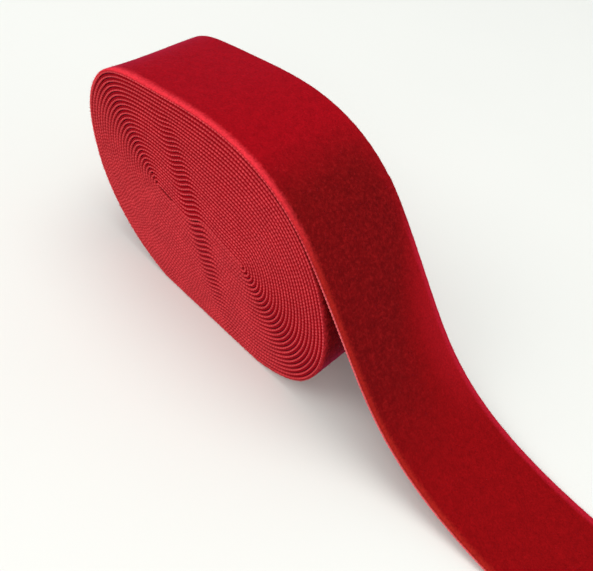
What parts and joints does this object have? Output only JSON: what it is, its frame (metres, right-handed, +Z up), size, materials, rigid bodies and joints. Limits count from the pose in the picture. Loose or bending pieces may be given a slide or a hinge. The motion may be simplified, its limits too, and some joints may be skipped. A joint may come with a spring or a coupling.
{
  "type": "velvet ribbon roll",
  "caption": "Coreless roll of one-sided velvet gift ribbon standing on its edge, with its free end running off the top down to the table.",
  "frame": {"origin": "on the table, at the middle of the flat foot that the roll rests on", "axes": "+X along the free end, away from the roll; +Y across the ribbon, towards its far edge; +Z up"},
  "size_m": [0.1397, 0.025, 0.045],
  "materials": {
    "velvet_pile": "cut velvet pile, deep crimson, brighter red where the pile is seen edge on",
    "woven_back": "plain dull satin weave, crimson",
    "selvedge": "tight plain-woven ribbon edge, lighter pinkish red with a fine bead for each weft turn"
  },
  "bodies": {
    "outer_turns": {"outer_turns_backing": "woven_back", "outer_turns_pile": "velvet_pile", "outer_turns_near_selvedge": "selvedge", "outer_turns_far_selvedge": "selvedge"},
    "middle_turns": {"middle_turns_backing": "woven_back", "middle_turns_pile": "velvet_pile", "middle_turns_near_selvedge": "selvedge", "middle_turns_far_selvedge": "selvedge"},
    "core_turns": {"core_turns_backing": "woven_back", "core_turns_pile": "velvet_pile", "core_turns_near_selvedge": "selvedge", "core_turns_far_selvedge": "selvedge"},
    "tail_shoulder": {"tail_shoulder_backing": "woven_back", "tail_shoulder_pile": "velvet_pile", "tail_shoulder_near_selvedge": "selvedge", "tail_shoulder_far_selvedge": "selvedge"},
    "tail_slope": {"tail_slope_backing": "woven_back", "tail_slope_pile": "velvet_pile", "tail_slope_near_selvedge": "selvedge", "tail_slope_far_selvedge": "selvedge"},
    "tail_end": {"tail_end_backing": "woven_back", "tail_end_pile": "velvet_pile", "tail_end_near_selvedge": "selvedge", "tail_end_far_selvedge": "selvedge"}
  },
  "joints": [
    {"name": "middle_slip", "type": "slide", "parent": "outer_turns", "child": "middle_turns", "axis": [0, 1, 0], "range_m": [-0.003, 0.003]},
    {"name": "core_slip", "type": "slide", "parent": "middle_turns", "child": "core_turns", "axis": [0, 1, 0], "range_m": [-0.003, 0.003]},
    {"name": "peel_bend", "type": "hinge", "parent": "outer_turns", "child": "tail_shoulder", "pos_m": [0.01599, 0, 0.03853], "axis": [0, -1, 0], "range_deg": [0, 60]},
    {"name": "slope_bend", "type": "hinge", "parent": "tail_shoulder", "child": "tail_slope", "pos_m": [0.03715, 0, 0.0177], "axis": [0, -1, 0], "range_deg": [0, 60]},
    {"name": "table_bend", "type": "hinge", "parent": "tail_slope", "child": "tail_end", "pos_m": [0.06691, 0, 0.00233], "axis": [0, -1, 0], "range_deg": [0, 60]}
  ],
  "couplings": [
    {"joint": "core_slip", "follows": "middle_slip", "ratio": 1}
  ]
}
